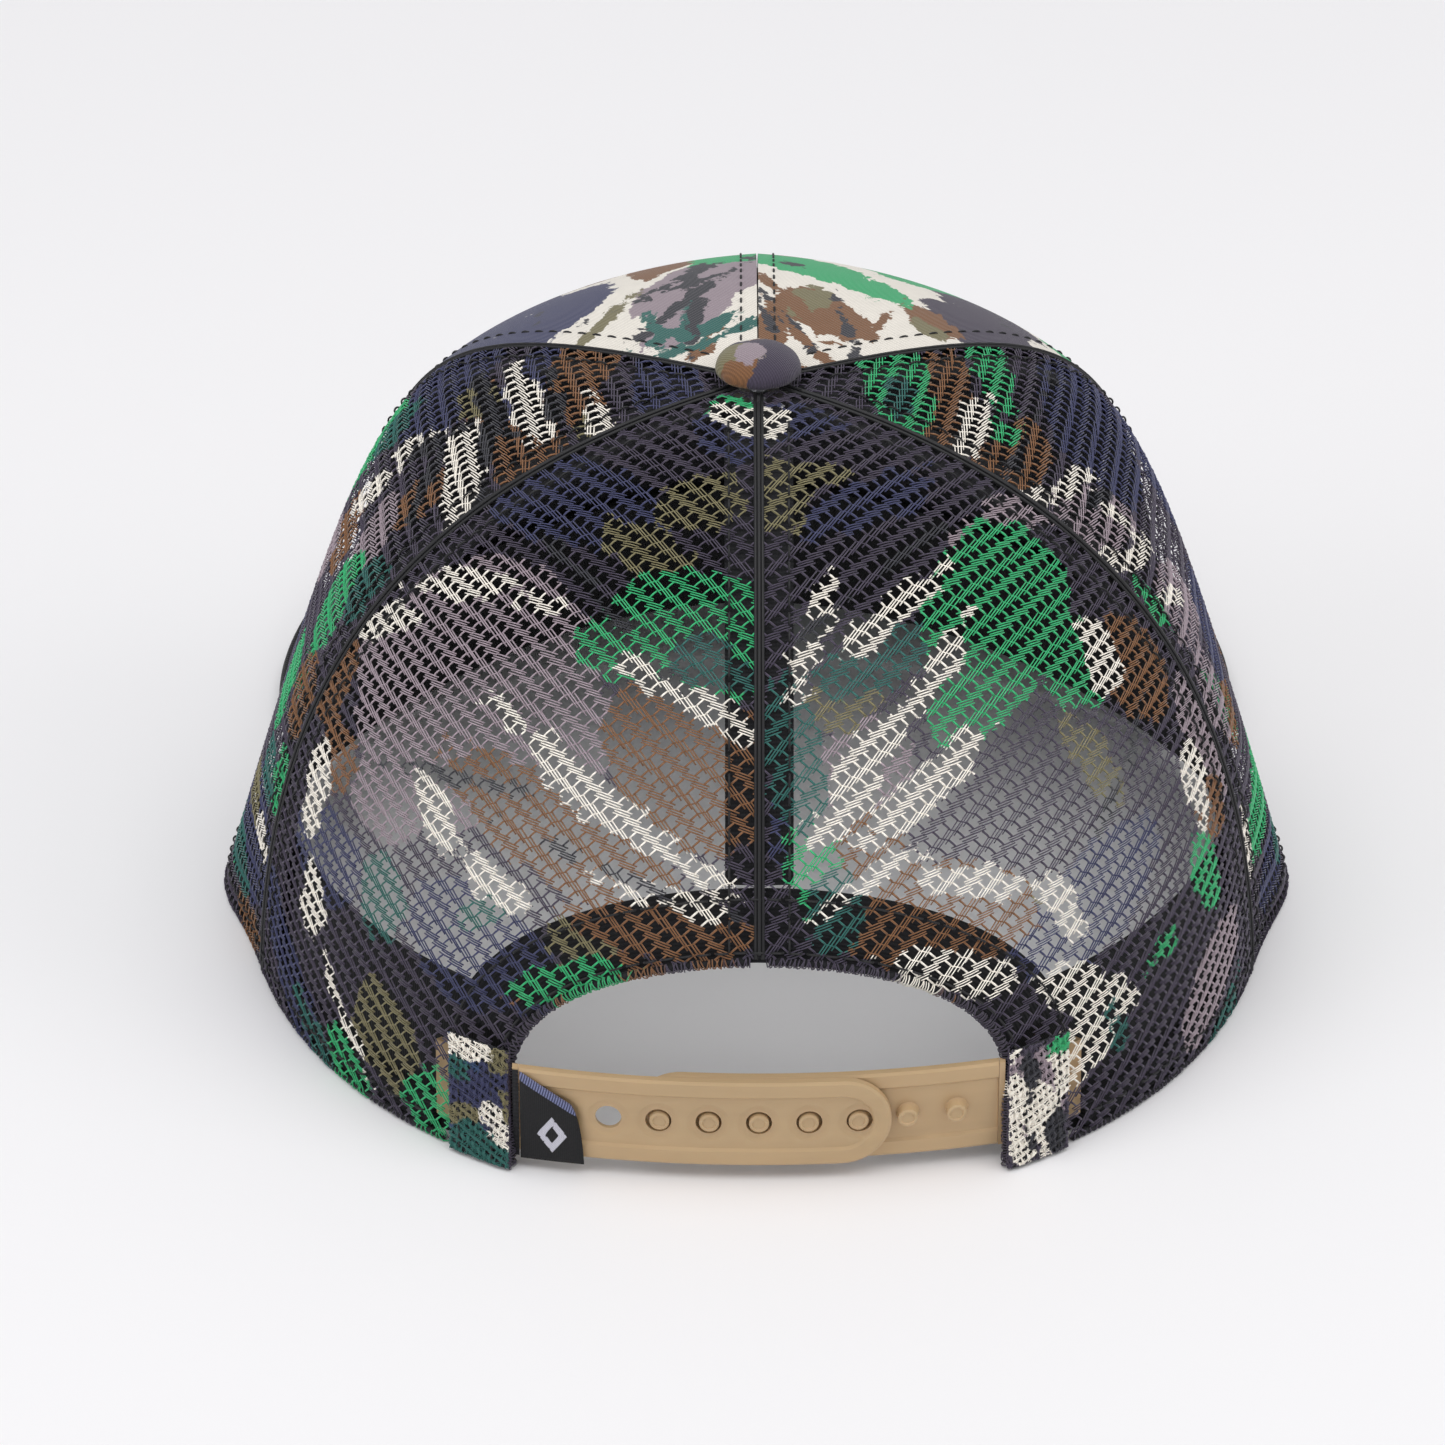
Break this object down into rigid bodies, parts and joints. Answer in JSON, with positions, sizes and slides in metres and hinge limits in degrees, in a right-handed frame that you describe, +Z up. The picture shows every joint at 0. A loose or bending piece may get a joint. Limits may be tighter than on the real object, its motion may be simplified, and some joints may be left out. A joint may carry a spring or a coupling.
{
  "type": "trucker cap",
  "caption": "Trucker cap with twill front panels, mesh sides and back, a curved visor and a snap strap closure at the back.",
  "frame": {"origin": "centre of the footprint of the whole cap, visor included, on the surface it stands on", "axes": "+Z up out of the crown, -Y towards the tip of the visor, +X towards the wearer's left"},
  "size_m": [0.201, 0.2536, 0.1189],
  "materials": {
    "camo_twill": "printed cotton twill",
    "camo_mesh": "printed polyester mesh",
    "camo_button": "printed cotton twill over a metal cap",
    "visor_top_cloth": "printed cotton twill",
    "visor_under_cloth": "plain dark twill",
    "black_tape": "woven tape",
    "black_buckram": "stiffened open weave",
    "black_sweatband": "brushed cotton",
    "strap_plastic": "moulded tan plastic, satin",
    "label_weave": "black woven satin with a plain white mark",
    "plated_steel": "plated",
    "visor_board": "moulded sheet"
  },
  "bodies": {
    "crown": {"front_panel_left": "camo_twill", "front_buckram_left": "black_buckram", "side_mesh_panel_left": "camo_mesh", "back_mesh_panel_left": "camo_mesh", "rim_hem_left": "camo_mesh", "strap_anchor_left": "camo_mesh", "seam_tape_front_side_left": "black_tape", "seam_tape_back_side_left": "black_tape", "front_panel_right": "camo_twill", "front_buckram_right": "black_buckram", "side_mesh_panel_right": "camo_mesh", "back_mesh_panel_right": "camo_mesh", "rim_hem_right": "camo_mesh", "strap_anchor_right": "camo_mesh", "seam_tape_front_side_right": "black_tape", "seam_tape_back_side_right": "black_tape", "seam_tape_front_center": "black_tape", "seam_tape_back_center": "black_tape", "arch_tape": "black_tape", "sweatband": "black_sweatband", "hole_strap_sewn_end": "strap_plastic", "peg_strap_sewn_end": "strap_plastic", "top_button": "camo_button", "button_shank": "plated_steel", "button_washer": "plated_steel", "visor_under_cover": "visor_under_cloth", "visor_board": "visor_board", "visor_top_cover": "visor_top_cloth"},
    "hole_strap": {"hole_strap": "strap_plastic"},
    "peg_strap": {"peg_strap": "strap_plastic"},
    "flag_label": {"flag_label": "label_weave"}
  },
  "joints": [
    {"name": "hole_strap_swing", "type": "hinge", "parent": "crown", "child": "hole_strap", "pos_m": [0.0422, 0.12189, 0.0116], "axis": [0, 0, -1], "range_deg": [0, 55], "stiffness_Nm_per_rad": 0.02},
    {"name": "peg_strap_swing", "type": "hinge", "parent": "crown", "child": "peg_strap", "pos_m": [-0.0422, 0.11829, 0.0116], "axis": [0, 0, -1], "range_deg": [0, 60], "stiffness_Nm_per_rad": 0.02},
    {"name": "flag_label_flip", "type": "hinge", "parent": "hole_strap", "child": "flag_label", "pos_m": [0.042, 0.12311, 0.0111], "axis": [0, 0, -1], "range_deg": [0, 45], "stiffness_Nm_per_rad": 0.0002}
  ]
}
